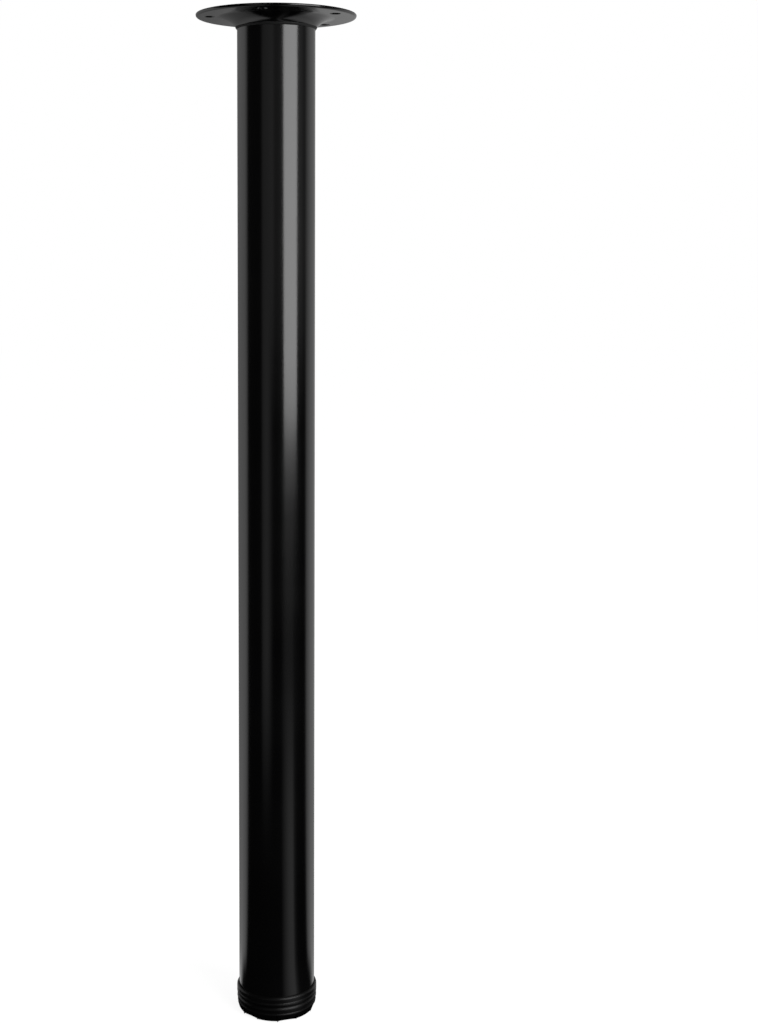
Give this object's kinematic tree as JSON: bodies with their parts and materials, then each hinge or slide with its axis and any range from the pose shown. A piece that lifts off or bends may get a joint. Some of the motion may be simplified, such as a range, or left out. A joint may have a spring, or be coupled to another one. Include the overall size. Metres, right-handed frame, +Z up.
{
  "type": "height adjustable table leg",
  "caption": "Round steel table leg with a screw-on trumpet mounting plate at the top and a screw-adjustable levelling foot at the bottom, black powder coated.",
  "frame": {"origin": "on the floor, under the middle of the foot, with the foot wound right in", "axes": "+Z up along the tube, from the floor to the mounting plate; +X and +Y level"},
  "size_m": [0.123, 0.123, 0.785],
  "materials": {
    "powder_coat": "semi-gloss black powder coat",
    "black_plastic": "fine satin moulded black",
    "zinc_steel": "bright zinc plated"
  },
  "bodies": {
    "leg": {"mounting_plate": "powder_coat", "weld_bead": "powder_coat", "leg_tube": "powder_coat", "end_cap": "black_plastic", "stud_nut": "zinc_steel"},
    "stud": {"foot_stud": "zinc_steel"},
    "foot": {"adjusting_foot": "black_plastic"}
  },
  "joints": [
    {"name": "foot_travel", "type": "slide", "parent": "leg", "child": "stud", "axis": [0, 0, -1], "range_m": [0, 0.025]},
    {"name": "foot_turn", "type": "hinge", "parent": "stud", "child": "foot", "pos_m": [0, 0, 0.005], "axis": [0, 0, -1], "range_deg": [0, 6000]}
  ],
  "couplings": [
    {"joint": "foot_travel", "follows": "foot_turn", "m_per_rad": 0.00023873}
  ]
}
